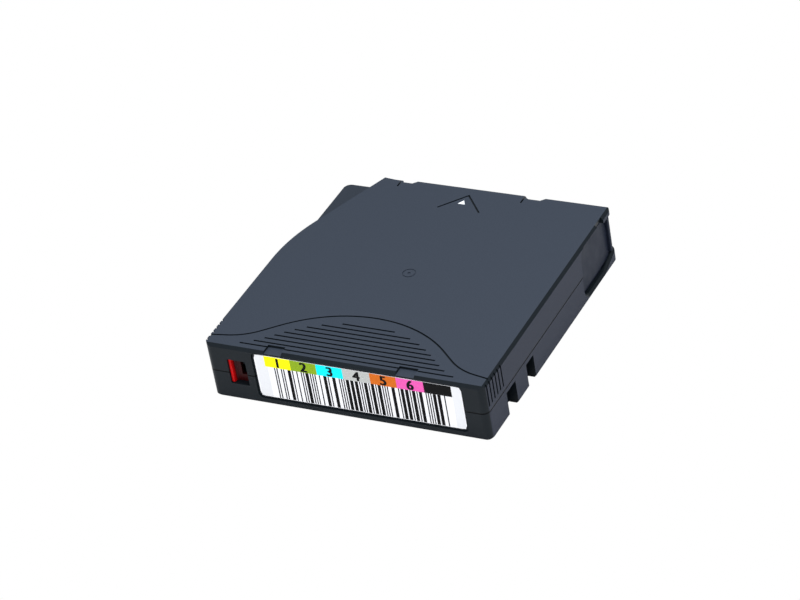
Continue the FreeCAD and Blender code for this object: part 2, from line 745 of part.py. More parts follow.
def make_upper_shell():
    body = new_body("upper_shell_moulding")
    slab(body, "upper_block", size.parting_height, size.case_height,
         [rounded_loop(-half_width, -half_depth, half_width, half_depth, size.corner_round)])
    far = half_depth + outside
    cut(body, "corner_step", step_height, size.case_height + outside, [
        step_outline(as_size(0), far)
        + [(-half_width - outside, far), (-half_width - outside, size.step_start)]])
    # chamfers along the top edges; the door side's is broken by the finger slot
    top = size.case_height + outside
    chamfer = size.top_chamfer
    rear_chamfer = [(-half_depth - outside, top),
                    (-half_depth - outside, size.case_height - chamfer - outside),
                    (chamfer + outside - half_depth, top)]
    cut(body, "rear_chamfer", -half_width - outside, half_width + outside, [rear_chamfer], role="YZ_Plane")
    slope = [(-half_depth - outside, top), (-half_depth - outside, size.case_height - chamfer * 2.25),
             (chamfer * 4.8 - half_depth, top)]
    cut(body, "rear_slope", REAR_STEPS[0][1], REAR_STEPS[1][0], [slope], role="YZ_Plane")
    front_chamfer = [(half_depth + outside, top), (half_depth - chamfer - outside, top),
                     (half_depth + outside, size.case_height - chamfer - outside)]
    cut(body, "front_chamfer", -half_width - outside, half_width + outside, [front_chamfer], role="YZ_Plane")
    side_chamfer = [(half_width + outside, top), (half_width - chamfer - outside, top),
                    (half_width + outside, size.case_height - chamfer - outside)]
    cut(body, "side_chamfer", -finger_slot_start, half_depth + outside, [side_chamfer], role="XZ_Plane")
    cut(body, "block_chamfer", -half_depth - outside, -corner_block_start, [side_chamfer],
        role="XZ_Plane")
    # hollow: whole under the step's shelf, and inside the stepped wall above it
    below = size.parting_height - outside
    cut(body, "upper_hollow", below, shelf_underside,
        [box_loop(-side_inner, -end_inner, side_inner, end_inner)])
    cut(body, "upper_hollow_high", below, ceiling, [
        step_outline(size.wall, end_inner) + [(side_inner, end_inner), (side_inner, -end_inner),
                                              (-side_inner, -end_inner)]])
    cut(body, "upper_door_track", below, ceiling,
        [box_loop(side_inner - outside, door_rear - size.door_travel - 1, skin_inner, end_inner)])
    groove = size.door_gap
    cut(body, "upper_door_groove", ceiling - outside, ceiling + size.groove_depth,
        [box_loop(door_inner - groove, door_rear - size.door_travel - 1,
                  door_inner + size.door_tongue + groove, door_front + groove)])
    # leader opening
    frame = [
        (opening_rear, below), (half_depth + outside, below),
        (half_depth + outside, corner_block_underside),
        (corner_block_start, corner_block_underside),
        (corner_block_start, opening_top),
        (opening_rear + size.opening_corner, opening_top),
        (opening_rear, opening_top - size.opening_corner, size.opening_corner, 1),
    ]
    cut(body, "upper_opening", door_outer, half_width + outside, [frame], role="YZ_Plane")
    cut(body, "finger_slot", below, top, [box_loop(
        half_width - size.top_chamfer, finger_slot_start, half_width + outside, corner_block_start)])
    # seat of the leader pin
    seat = size.pin_flange_radius + size.pin_end_gap
    cut(body, "upper_pin_seat", ceiling - outside, ceiling + size.pin_seat_depth,
        [pin_seat_loop(seat, door_inner)])
    # rear window and label recess
    cut(body, "upper_window", end_inner - outside, half_depth + outside, [box_loop(
        window_left, below, window_right, size.window_top)], role="XZ_Plane")
    cut(body, "upper_label_recess", label_plane, half_depth + outside, [label_loop(size.label_margin)],
        role="XZ_Plane")
    left, right = window_left - 1.4, window_right + size.tab_travel + 0.6
    channel = size.tab_thickness + 2 * size.key_gap
    slab(body, "tab_stop", size.window_top, ceiling + 0.5, [
        box_loop(left, -end_inner - 0.5, right, channel + 1 - end_inner)])
    slab(body, "upper_tab_fence", size.window_top - 3.75, size.window_top + 0.5, [
        box_loop(window_left + 3.8, channel - end_inner, right, channel + 1 - end_inner)])
    # steps in the rear top edge and reliefs in the front one
    for index, (low, high) in enumerate(REAR_STEPS):
        cut(body, f"rear_step_{index}", size.case_height - size.rear_step_depth, top, [box_loop(
            low, -half_depth - outside, high, size.rear_step_length - half_depth)])
    cut_front_reliefs(body)
    # bosses for the screws, with their pilot holes
    add_bosses(body, "upper_boss", screw_places, size.parting_height, shelf_underside + 0.5)
    add_bosses(body, "boss_root", screw_places[1:], shelf_underside, ceiling + 0.5)
    cut(body, "pilot_holes", below, size.screw_head_seat + size.screw_length + 0.4,
        screw_loops(size.screw_shank_radius + 0.03))
    # brake key and its spring seat, hanging from the ceiling
    key_bottom = brake_disc_top + size.release_travel
    long_half, thin_half = size.key_length / 2, size.key_width / 2
    axis = size.reel_axis_y
    slab(body, "brake_key", key_bottom, ceiling + 0.5, [[
        (-long_half, axis - thin_half), (-thin_half, axis - thin_half), (-thin_half, axis - long_half),
        (thin_half, axis - long_half), (thin_half, axis - thin_half), (long_half, axis - thin_half),
        (long_half, axis + thin_half), (thin_half, axis + thin_half), (thin_half, axis + long_half),
        (-thin_half, axis + long_half), (-thin_half, axis + thin_half), (-long_half, axis + thin_half)]])
    slab(body, "coil_post", ceiling - 1.6, ceiling + 0.5, circles=[(coil_x, coil_y, size.coil_post_radius)])
    slab(body, "coil_stop", ceiling - 1.6, ceiling + 0.5,
         [box_loop(coil_x - size.spring_stop_reach, coil_y + size.coil_radius + 0.5,
                   coil_x - size.spring_stop_reach + 2, coil_y + size.coil_radius + 2)])
    # side grip grooves beside the rear corners, up over the chamfer
    for name, sign in (("right", 1), ("left", -1)):
        loops = []
        for index in range(int(float(size.side_grip_count))):
            middle = side_grip_first + size.side_grip_pitch * index
            loops.append(box_loop(middle - size.side_grip_width / 2, size.side_grip_bottom,
                                  middle + size.side_grip_width / 2, top))
        edge = half_width - size.side_grip_depth
        low, high = (edge, half_width + outside) if sign > 0 else (-half_width - outside, -edge)
        cut(body, f"{name}_side_grips", low, high, loops, role="YZ_Plane")
    document.recompute()
    engraving = shape_feature("top_engraving", make_engraving())
    return boolean("Cut", "upper_shell", body, engraving)


def cut_front_reliefs(body):
    """Stepped reliefs in the front top edge, each with a slit at its left end."""
    far = half_depth + outside
    top = size.case_height + outside
    back = half_depth - size.relief_setback
    face = half_depth - size.relief_skin
    reach = outside + size.relief_setback
    left_slit, right_slit = size.left_slit_x, size.right_slit_x
    half_slit = size.slit_width / 2
    left_flat, right_flat = size.left_flat_x, size.right_flat_x
    outlines = [
        [(left_slit - half_slit, far), (left_slit - half_slit, back + 0.4), (left_slit + 1.2, back),
         (left_flat, back), (left_flat + reach, far)],
        [(right_slit - half_slit, far), (right_slit - half_slit, back + 1.2), (right_slit + 1.7, back),
         (right_flat, back), (right_flat + reach, far)],
    ]
    faces = [
        [(left_slit - half_slit, far), (left_slit - half_slit, face), (left_flat + (face - back), face),
         (left_flat + reach, far)],
        [(right_slit - half_slit, far), (right_slit - half_slit, face), (right_flat + (face - back), face),
         (right_flat + reach, far)],
    ]
    cut(body, "front_relief", size.case_height - size.relief_depth, top, outlines)
    cut(body, "front_relief_face", size.case_height - size.relief_face_depth, top, faces)
    cut(body, "front_slits", size.case_height - size.slit_depth, top, [
        box_loop(middle - half_slit, half_depth - size.slit_length, middle + half_slit, far)
        for middle in (left_slit, right_slit)])
    cut(body, "corner_fall", size.case_height - size.relief_depth, top, [[
        (-36.5, far), (-35.5, half_depth - 0.95), (-33.0, half_depth - 1.3),
        (left_slit - half_slit, half_depth - 1.8), (left_slit - half_slit, far)]])


def wave_limit(y, margin):
    """Half-width of the wave line at a given Y, drawn in by a margin."""
    centre_y = float(wave_apex) - float(size.wave_crest_radius)
    crest = float(size.wave_crest_radius) - margin
    lean = math.asin(float(size.wave_crest_half) / float(size.wave_crest_radius))
    crest_end = Vector(crest * math.sin(lean), centre_y + crest * math.cos(lean), 0)
    if y > crest_end.y:
        return math.sqrt(crest ** 2 - (y - centre_y) ** 2)
    foot, foot_radius = wave_foot(lean, margin)
    foot_start = Vector(foot.x - foot_radius * math.sin(lean), foot.y - foot_radius * math.cos(lean), 0)
    if y > foot_start.y:
        return crest_end.x + (crest_end.y - y) / math.tan(lean)
    drop = min(foot.y - y, foot_radius)
    return foot.x - math.sqrt(foot_radius ** 2 - drop ** 2)


def wave_foot(lean, margin):
    """Centre and radius of the counter-curve that flattens the wave towards the sides."""
    radius = float(size.wave_foot_radius)
    crest = float(size.wave_crest_radius)
    centre_y = float(wave_apex) - crest
    crest_end = Vector(crest * math.sin(lean), centre_y + crest * math.cos(lean), 0)
    foot_x = float(wave_foot_x)
    start_x = foot_x - radius * math.sin(lean)
    start_y = crest_end.y - (start_x - crest_end.x) * math.tan(lean)
    return Vector(foot_x, start_y + radius * math.cos(lean), 0), radius + margin


def wave_line():
    """The wave's centre line, from beyond the left side to beyond the right side."""
    crest = float(size.wave_crest_radius)
    centre_y = float(wave_apex) - crest
    lean = math.asin(float(size.wave_crest_half) / crest)
    foot, radius = wave_foot(lean, 0)
    flat = math.radians(10)
    crest_end = Vector(crest * math.sin(lean), centre_y + crest * math.cos(lean), 0)
    start = Vector(foot.x - radius * math.sin(lean), foot.y - radius * math.cos(lean), 0)
    middle_angle = (lean + flat) / 2
    middle = Vector(foot.x - radius * math.sin(middle_angle), foot.y - radius * math.cos(middle_angle), 0)
    end = Vector(foot.x - radius * math.sin(flat), foot.y - radius * math.cos(flat), 0)
    reach = float(half_width) + 1
    tail = Vector(reach, end.y - (reach - end.x) * math.tan(flat), 0)

    def mirrored(point):
        return Vector(-point.x, point.y, 0)

    apex = Vector(0, float(wave_apex), 0)
    return [
        Part.LineSegment(mirrored(tail), mirrored(end)).toShape(),
        Part.Arc(mirrored(end), mirrored(middle), mirrored(start)).toShape(),
        Part.LineSegment(mirrored(start), mirrored(crest_end)).toShape(),
        Part.Arc(mirrored(crest_end), apex, crest_end).toShape(),
        Part.LineSegment(crest_end, start).toShape(),
        Part.Arc(start, middle, end).toShape(),
        Part.LineSegment(end, tail).toShape(),
    ]


def engraved(edges):
    """Cutter for a groove of the line's width and depth along flat edges on the top face."""
    depth = float(size.line_depth)
    wire = Part.Wire(edges)
    face = Part.Face(wire.makeOffset2D(float(size.line_width) / 2, 0, False, False, False))
    face.translate(Vector(0, 0, float(size.case_height) - depth))
    return face.extrude(Vector(0, 0, depth + 1))


def make_engraving():
    """Wave line, grip grooves, insertion arrow and the ring over the reel's axis."""
    cutters = [engraved(wave_line())]
    for index in range(int(float(size.grip_count))):
        y = float(grip_first) - float(size.grip_pitch) * index
        reach = wave_limit(y, float(size.grip_margin))
        half = float(size.line_width) / 2
        bottom = float(size.case_height) - float(size.line_depth)
        cutters.append(block(-reach, y - half, bottom, reach, y + half, float(size.case_height) + 1))
    apex = Vector(0, float(arrow_apex), 0)
    foot_y = float(arrow_apex) - float(size.arrow_length)
    half_width_arrow = float(size.arrow_half_width)
    cutters.append(engraved([
        Part.LineSegment(Vector(-half_width_arrow, foot_y, 0), apex).toShape(),
        Part.LineSegment(apex, Vector(half_width_arrow, foot_y, 0)).toShape()]))
    level = float(size.case_height)
    outer = float(size.mark_radius)
    groove = cylinder(size.mark_x, size.mark_y, level - 0.25, outer, level + 1)
    cutters.append(groove.cut(cylinder(size.mark_x, size.mark_y, level - 0.25, outer - 0.4, level + 1)))
    cutters.append(cylinder(size.mark_x, size.mark_y, level - 0.3, 0.55, level + 1))
    return Part.makeCompound(cutters)


# ---------------------------------------------------------------- door

def make_door():
    body = new_body("door")
    slab(body, "panel", size.door_bottom, door_top, [
        box_loop(door_inner, door_rear, door_outer, door_front)])
    tongue = door_inner + size.door_tongue
    floor_reach = size.plate - size.groove_depth + size.door_gap
    slab(body, "lower_tongue", floor_reach, size.door_bottom + 0.5, [
        box_loop(door_inner, door_rear, tongue, door_front)])
    slab(body, "upper_tongue", door_top - 0.5, ceiling + size.groove_depth - size.door_gap, [
        box_loop(door_inner, door_rear, tongue, door_front)])
    slab(body, "front_lug", size.post_height + 0.4, corner_block_underside - 0.6, [
        rounded_loop(door_outer - 0.5, door_front - size.lug_length, door_outer + size.lug_reach,
                     door_front, as_size(0.4))])
    lug_top = ceiling - 0.3
    slab(body, "spring_lug", lug_top - 1.2, lug_top, [
        box_loop(door_inner - 1.6, door_lug_y, door_inner + 0.3, door_lug_y + 1.5)])
    return body


def make_door_spring():
    """Torsion spring wound on its post: one leg on the ceiling's stop, one behind the door's lug."""
    wire_radius = float(size.coil_wire) / 2
    radius = float(size.coil_radius)
    centre = Vector(float(coil_x), float(coil_y), 0)
    tip = Vector(float(door_inner) - 1.0, float(door_lug_y) - wire_radius - 0.05, 0)
    stop = Vector(centre.x - float(size.spring_stop_reach) - 0.5, centre.y + radius + 0.45 - wire_radius, 0)
    out, back = tip - centre, stop - centre
    leave = math.atan2(out.y, out.x) - math.acos(radius / out.Length)
    arrive = math.atan2(back.y, back.x) + math.acos(radius / back.Length)
    turns = (leave - arrive) % (2 * math.pi) / (2 * math.pi) + 1
    pitch = float(size.coil_wire) + 0.08
    high = float(ceiling) - 0.15 - wire_radius
    low = high - pitch * turns
    coil = wound_wire(radius, size.coil_wire, low, pitch, turns, True)
    coil.rotate(Vector(0, 0, 0), Vector(0, 0, 1), math.degrees(leave))
    coil.translate(centre)
    legs = [coil_leg(centre, leave, low, tip, 1), coil_leg(centre, arrive, high, stop, -1)]
    return shape_feature("door_spring", joined([coil] + legs))


def coil_leg(centre, angle, level, end, sense):
    """Straight leg that leaves the coil at an angle; it starts a little way inside the coil's wire."""
    radius = float(size.coil_radius)
    along = Vector(-math.sin(angle), math.cos(angle), 0) * sense
    root = centre + Vector(radius * math.cos(angle), radius * math.sin(angle), level)
    inside = 0.25
    start = root - along * inside
    return Part.makeCylinder(float(size.coil_wire) * 0.43, (end - root).dot(along) + inside, start, along)


# ---------------------------------------------------------------- write-protect tab

def make_write_protect_tab():
    """Slider: a face plate with a raised finger rib at its left and a low foot that reaches right."""
    body = new_body("write_protect_tab")
    left = window_left + size.key_gap
    low = size.window_bottom + size.key_gap
    high = size.window_top - size.key_gap
    back = tab_front - size.tab_thickness
    front = tab_front + size.tab_rib_reach
    rib = left + size.tab_rib_width
    slab(body, "tab_face", low, high, [[
        (left, -back), (left, -front), (rib, -front), (rib + 0.5, -front + 1.1), (rib + 1.2, -tab_front),
        (left + size.tab_face_width, -tab_front), (left + size.tab_face_width, -back)]])
    slab(body, "tab_foot", back, tab_front, [
        box_loop(rib, low, window_right, low + size.tab_foot_height)], role="XZ_Plane")
    return body


# ---------------------------------------------------------------- reel

def leg_angles():
    return [90, 210, 330]


def near_leg(angle, clear):
    """Whether an angle in degrees lies within a clearance of one of the spider's legs."""
    for leg in leg_angles():
        away = abs((angle - leg + 180) % 360 - 180)
        if away < clear:
            return True
    return False


def leg_circles(radius):
    circles = []
    for angle in leg_angles():
        turn = math.radians(angle)
        circles.append((size.leg_circle * math.cos(turn), size.leg_circle * math.sin(turn), radius))
    return circles


def make_reel_hub():
    """Hub with its floor, the lower flange, the drive gear below and three toothed brake bosses."""
    body = new_body("reel_hub_turning")
    hub_inner = size.hub_radius - size.hub_wall
    turned(body, "hub_profile", [
        (size.pilot_radius, size.hub_floor_bottom),
        (size.gear_inner_radius - 0.8, size.hub_floor_bottom),
        (size.gear_inner_radius - 0.8, size.gear_root),
        (size.hub_boss_radius, size.gear_root),
        (size.hub_boss_radius, size.flange_rest),
        (flange_radius, size.flange_rest),
        (flange_radius, hub_floor_top),
        (size.hub_radius, hub_floor_top),
        (size.hub_radius, upper_flange_rest),
        (hub_inner, upper_flange_rest),
        (hub_inner, hub_floor_top),
        (size.pilot_radius, hub_floor_top),
    ])
    segment = []
    for leg in leg_angles():
        start, end = math.radians(leg + 27), math.radians(leg + 93)
        inner, outer = size.brake_inner_radius, size.brake_outer_radius
        segment.append([
            (inner * math.cos(start), inner * math.sin(start)),
            (outer * math.cos(start), outer * math.sin(start)),
            (outer * math.cos(end), outer * math.sin(end), outer, 1),
            (inner * math.cos(end), inner * math.sin(end)),
            (inner * math.cos(start), inner * math.sin(start), inner, -1)][1:])
    for index, loop in enumerate(segment):
        slab(body, f"brake_boss_{index}", hub_floor_top - 0.5, size.brake_root, [loop])
    document.recompute()
    teeth = tooth_ring(size.gear_tooth_count, size.gear_inner_radius, size.gear_outer_radius, size.gear_root,
                       size.tooth_height, False, lambda angle: near_leg(angle, 8.5), 0.5)
    teeth += tooth_ring(size.brake_tooth_count, size.brake_inner_radius + 0.05,
                        size.brake_outer_radius - 0.05, size.brake_root, size.tooth_height, True,
                        lambda angle: near_leg(angle, 31), 0.5)
    solid = body.Shape.fuse(teeth)
    holes = [cylinder(x, y, 0, radius, leg_clear_top)
             for x, y, radius in leg_circles(size.leg_radius + size.leg_gap)]
    solid = solid.cut(holes)
    hub = shape_feature("reel_hub", solid)
    return hub


def make_upper_flange():
    body = new_body("upper_flange")
    slab(body, "flange_disc", upper_flange_rest, upper_flange_rest + size.flange_thickness, circles=[
        (0, 0, flange_radius), (0, 0, size.hub_radius - size.hub_wall)])
    return body


def make_reel_plate():
    body = new_body("reel_plate")
    slab(body, "steel_disc", size.hub_floor_bottom - size.plate_thickness, size.hub_floor_bottom,
         circles=[(0, 0, size.plate_radius), (0, 0, size.pilot_radius)])
    return body


def make_tape_pack():
    body = new_body("tape_pack")
    slab(body, "wound_tape", tape_bottom, tape_bottom + tape_width,
         circles=[(0, 0, pack_radius), (0, 0, size.hub_radius)])
    return body


# ---------------------------------------------------------------- brake

def make_brake_button():
    body = new_body("brake_turning")
    foot = spider_rest + size.spider_thickness + 0.15
    turned(body, "brake_profile", [
        (0, foot), (2.6, foot), (3.6, brake_disc_bottom), (size.brake_outer_radius + 0.2, brake_disc_bottom),
        (size.brake_outer_radius + 0.2, brake_disc_top), (size.brake_boss_radius, brake_disc_top),
        (size.brake_boss_radius, size.brake_boss_top), (0, size.brake_boss_top),
    ])
    long_half = size.key_length / 2 + size.key_gap
    thin_half = size.key_width / 2 + size.key_gap
    cut(body, "key_socket", brake_disc_top - 0.3, size.brake_boss_top + 1, [[
        (-long_half, -thin_half), (-thin_half, -thin_half), (-thin_half, -long_half),
        (thin_half, -long_half), (thin_half, -thin_half), (long_half, -thin_half),
        (long_half, thin_half), (thin_half, thin_half), (thin_half, long_half),
        (-thin_half, long_half), (-thin_half, thin_half), (-long_half, thin_half)]])
    document.recompute()
    teeth = tooth_ring(size.brake_tooth_count, size.brake_inner_radius, size.brake_outer_radius,
                       brake_disc_bottom, size.tooth_height, False, lambda angle: False, 0.0)
    return shape_feature("brake_button", body.Shape.fuse(teeth))


def make_brake_spring():
    """Compression spring between the brake disc and the ceiling."""
    wire = float(size.spring_wire)
    low, high = float(brake_disc_top) + wire * 0.5, float(ceiling) - wire * 0.5
    turns = float(size.spring_turns)
    coil = wound_wire(float(size.spring_radius), wire, low, (high - low) / turns, turns, False)
    return shape_feature("brake_spring", coil)


def make_release_spider():
    """Round pad with three arms, each ending in a leg that stands in a hole of the hub's floor."""
    body = new_body("release_spider")
    rest = spider_rest
    top = rest + size.spider_thickness
    slab(body, "pad", rest, top, circles=[(0, 0, 6.5)])
    half = size.spider_arm_width / 2
    for index, (x, y, radius) in enumerate(leg_circles(size.leg_radius)):
        turn = math.radians(leg_angles()[index])
        across_x, across_y = half * math.sin(turn), half * math.cos(turn)
        slab(body, f"arm_{index}", rest, top, [[
            (across_x, -across_y), (x + across_x, y - across_y), (x - across_x, y + across_y),
            (-across_x, across_y)]])
        slab(body, f"leg_{index}", size.gear_root - 0.5, top, circles=[(x, y, radius)])
    return body


# ---------------------------------------------------------------- leader pin and free tape

def make_leader_pin():
    end_low = size.plate - size.pin_seat_depth + size.pin_end_gap
    end_high = ceiling + size.pin_seat_depth - size.pin_end_gap
    collar_low = tape_bottom - 0.7
    collar_high = tape_bottom + tape_width + 0.9
    outline = [
        (0, end_low), (size.pin_flange_radius, end_low), (size.pin_flange_radius, collar_low),
        (size.pin_shaft_radius, collar_low), (size.pin_shaft_radius, collar_high),
        (size.pin_flange_radius, collar_high), (size.pin_flange_radius, end_high), (0, end_high),
    ]
    return shape_feature("leader_pin", revolved(pin_x, pin_y, outline))


def make_pin_clip():
    """Split plastic sleeve that clamps the end of the tape round the pin."""
    inner = float(size.pin_shaft_radius) + 0.02
    low, high = float(tape_bottom), float(tape_bottom + tape_width)
    sleeve = cylinder(pin_x, pin_y, low, size.clip_radius, high)
    sleeve = sleeve.cut(cylinder(pin_x, pin_y, low - 1, inner, high + 1))
    slot = block(pin_x - size.clip_radius - 1, pin_y - 0.5, low - 1, pin_x - 0.8,
                 pin_y + 0.5, high + 1)
    return shape_feature("pin_clip", sleeve.cut(slot))


def make_tape_leader():
    """Free span of tape: leaves the pack on the door side and reaches the pin's clip on its inner side."""
    reel = Vector(0, float(size.reel_axis_y), 0)
    pin = Vector(float(pin_x), float(pin_y), 0)
    thickness = float(size.leader_thickness)
    near = float(pack_radius) + 0.1
    far = float(size.clip_radius) + 0.05 + thickness
    run = pin - reel
    bearing = math.atan2(run.y, run.x) - math.acos((near + far) / run.Length)
    normal = Vector(math.cos(bearing), math.sin(bearing), 0)
    start, end = reel + normal * near, pin - normal * far
    corners = [start, end, end + normal * thickness, start + normal * thickness]
    bottom = Vector(0, 0, float(tape_bottom))
    wire = Part.makePolygon([corner + bottom for corner in corners + corners[:1]])
    strip = Part.Face(wire).extrude(Vector(0, 0, float(tape_width)))
    return shape_feature("tape_leader", strip)


def make_pin_spring():
    """Leaf spring: a web on the front wall and two fingers that press the pin's ends into the seats."""
    thick = float(size.leaf_thickness)
    web_y = float(end_inner) - thick / 2 - 0.05
    touch_y = float(pin_y) + float(size.pin_flange_radius) + thick / 2 + 0.05
    left, right = float(pin_x) - 5, float(pin_x) + 3
    low, high = float(size.plate) + 0.15, float(ceiling) - 0.15
    web = Part.makeBox(right - left, thick, high - low, Vector(left, web_y - thick / 2, low))
    shapes = [web]
    bend = [(left, web_y), (left + 2, touch_y), (right - 0.5, touch_y)]
    for bottom, top in ((low, float(tape_bottom) - 0.75), (high - 0.9, high)):
        shapes.append(leaf(bend, thick, bottom, top))
    return shape_feature("pin_spring", joined(shapes))


# ---------------------------------------------------------------- memory, label, screws

def tilted(shape):
    """Lays a shape drawn flat from the floor's foot up the forty-five degree ribs to the rear wall."""
    shape.rotate(Vector(0, 0, 0), Vector(1, 0, 0), -45)
    reach = float(size.board_width) * math.cos(math.radians(45))
    shape.translate(Vector(float(board_x), 0.1 - float(end_inner), float(size.plate) + reach + 0.15))
    return shape


def make_memory_board():
    board = Part.makeBox(float(size.board_length), float(size.board_width), float(size.board_thickness))
    return shape_feature("memory_board", tilted(board))


def make_memory_chip():
    middle = Vector(float(size.board_length) / 2 - 2, float(size.board_width) / 2 - 2,
                    float(size.board_thickness))
    return shape_feature("memory_chip", tilted(Part.makeBox(4, 4, 0.9, middle)))


def make_label():
    body = new_body("barcode_label")
    slab(body, "label_sheet", label_plane, label_plane + size.label_thickness, [label_loop(as_size(0))],
         role="XZ_Plane")
    return body


def make_screws():
    """Pan head screws, one below each boss, drawn with few sides."""
    seat = float(size.screw_head_seat)
    screws = []
    for x, y in screw_places:
        head = prism(x, y, seat - float(size.screw_head_height), size.screw_head_radius, seat, 12)
        shank = prism(x, y, seat - 0.5, size.screw_shank_radius, seat + float(size.screw_length), 8)
        screws.append(joined([head, shank]))
    return shape_feature("case_screws", Part.makeCompound(screws))


# ---------------------------------------------------------------- document

def make_cartridge():
    parts = [make_lower_shell(), make_upper_shell(), make_door(), make_door_spring(),
             make_write_protect_tab()]
    about_reel_axis = [make_reel_hub(), make_upper_flange(), make_reel_plate(), make_tape_pack(),
                       make_brake_button(), make_brake_spring(), make_release_spider()]
    for part in about_reel_axis:
        place(part, y=size.reel_axis_y)
    parts += about_reel_axis
    parts += [make_leader_pin(), make_pin_clip(), make_tape_leader(), make_pin_spring(),
              make_memory_board(), make_memory_chip(), make_label(), make_screws()]
    return parts


def check(parts):
    for obj in document.Objects:
        for state in obj.State:
            if state in ("Invalid", "Error"):
                raise RuntimeError(f"{obj.Label} is {state}")
    for part in parts:
        if part.Shape.isNull() or not part.Shape.isValid():
            raise RuntimeError(f"{part.Label} has no sound shape")


subparts = make_cartridge()
document.recompute()
check(subparts)
os.makedirs("parts", exist_ok=True)
for part in subparts:
    part.Shape.exportStep(f"parts/{part.Label}.step")
    print(f"{part.Label}: {len(part.Shape.Solids)} solid(s), {part.Shape.Volume:.1f} mm3")
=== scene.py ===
import json
import math
import random

import bpy
from mathutils import Matrix, Vector


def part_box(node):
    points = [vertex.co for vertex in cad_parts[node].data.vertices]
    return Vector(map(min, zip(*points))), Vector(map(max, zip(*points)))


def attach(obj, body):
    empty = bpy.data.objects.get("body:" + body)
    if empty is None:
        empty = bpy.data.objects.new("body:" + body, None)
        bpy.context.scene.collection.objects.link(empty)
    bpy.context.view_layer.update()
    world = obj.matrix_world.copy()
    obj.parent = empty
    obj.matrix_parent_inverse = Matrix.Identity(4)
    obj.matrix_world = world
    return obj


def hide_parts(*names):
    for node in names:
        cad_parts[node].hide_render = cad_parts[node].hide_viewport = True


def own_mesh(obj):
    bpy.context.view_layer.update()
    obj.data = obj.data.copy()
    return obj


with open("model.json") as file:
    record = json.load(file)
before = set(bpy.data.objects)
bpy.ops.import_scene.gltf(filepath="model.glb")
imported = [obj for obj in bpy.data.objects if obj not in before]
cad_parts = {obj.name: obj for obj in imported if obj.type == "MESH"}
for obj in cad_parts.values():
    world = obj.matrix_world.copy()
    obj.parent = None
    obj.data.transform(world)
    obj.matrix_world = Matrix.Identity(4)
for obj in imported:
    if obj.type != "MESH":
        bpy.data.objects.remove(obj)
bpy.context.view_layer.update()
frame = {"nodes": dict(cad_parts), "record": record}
NODES = frame["nodes"]
MM = 0.001


# ---------------------------------------------------------------- node materials

class Graph:
    """Small helper round one material's node tree."""

    def __init__(self, name):
        self.material = bpy.data.materials.new(name)
        self.material.use_nodes = True
        self.tree = self.material.node_tree
        self.shader = self.tree.nodes["Principled BSDF"]
        self.coords = self.node("ShaderNodeTexCoord").outputs["Object"]

    def node(self, kind, **settings):
        made = self.tree.nodes.new(kind)
        for key, value in settings.items():
            setattr(made, key, value)
        return made

    def link(self, source, target):
        self.tree.links.new(source, target)

    def put(self, value, socket):
        if hasattr(value, "links"):
            self.link(value, socket)
        else:
            socket.default_value = value

    def math(self, operation, a, b=0.0):
        made = self.node("ShaderNodeMath", operation=operation)
        self.put(a, made.inputs[0])
        self.put(b, made.inputs[1])
        return made.outputs[0]

    def noise(self, scale, detail=2.0, rough=0.5):
        made = self.node("ShaderNodeTexNoise")
        self.link(self.coords, made.inputs["Vector"])
        made.inputs["Scale"].default_value = scale
        made.inputs["Detail"].default_value = detail
        made.inputs["Roughness"].default_value = rough
        return made.outputs["Fac"]

    def ramp(self, value, low, high, out_low=0.0, out_high=1.0):
        made = self.node("ShaderNodeMapRange")
        made.clamp = True
        self.put(value, made.inputs["Value"])
        made.inputs["From Min"].default_value = low
        made.inputs["From Max"].default_value = high
        made.inputs["To Min"].default_value = out_low
        made.inputs["To Max"].default_value = out_high
        return made.outputs["Result"]

    def band(self, value, low, high, edge, share=1.0):
        """Share between two levels, nothing outside them, with soft edges of the given width."""
        rising = self.ramp(value, low * MM, (low + edge) * MM)
        falling = self.ramp(value, high * MM, (high - edge) * MM, 0.0, share)
        return self.math("MULTIPLY", rising, falling)

    def mix(self, factor, a, b):
        made = self.node("ShaderNodeMix", data_type="RGBA")
        self.put(factor, made.inputs[0])
        self.put(a, made.inputs[6])
        self.put(b, made.inputs[7])
        return made.outputs[2]

    def position(self):
        split = self.node("ShaderNodeSeparateXYZ")
        self.link(self.coords, split.inputs[0])
        return split.outputs

    def normal(self):
        made = self.node("ShaderNodeTexCoord")
        split = self.node("ShaderNodeSeparateXYZ")
        self.link(made.outputs["Normal"], split.inputs[0])
        return split.outputs

    def bump(self, height, strength, distance):
        made = self.node("ShaderNodeBump")
        self.put(strength, made.inputs["Strength"])
        made.inputs["Distance"].default_value = distance
        self.link(height, made.inputs["Height"])
        self.link(made.outputs["Normal"], self.shader.inputs["Normal"])


def linear(value):
    value /= 255.0
    if value <= 0.04045:
        return value / 12.92
    return ((value + 0.055) / 1.055) ** 2.4


def srgb(red, green, blue):
    return (linear(red), linear(green), linear(blue), 1.0)


def darkened(colour, share):
    return tuple(channel * share for channel in colour[:3]) + (1.0,)


def plain(name, colour, roughness=0.5, metallic=0.0, grain=0.12, scale=900.0, depth=0.02, spread=0.05,
          gloss=0.3):
    """Material with a slightly mottled colour, a varied gloss and a fine relief."""
    graph = Graph(name)
    soft = graph.noise(scale, 3.0)
    mottled = graph.mix(graph.ramp(soft, 0.3, 0.7), darkened(colour, 1 - grain), colour)
    graph.link(mottled, graph.shader.inputs["Base Color"])
    graph.link(graph.ramp(graph.noise(scale * 0.23, 2.0), 0.3, 0.7, roughness - spread, roughness + spread),
               graph.shader.inputs["Roughness"])
    graph.shader.inputs["Metallic"].default_value = metallic
    graph.shader.inputs["Specular IOR Level"].default_value = gloss
    graph.bump(soft, 0.3, depth * MM)
    return graph.material


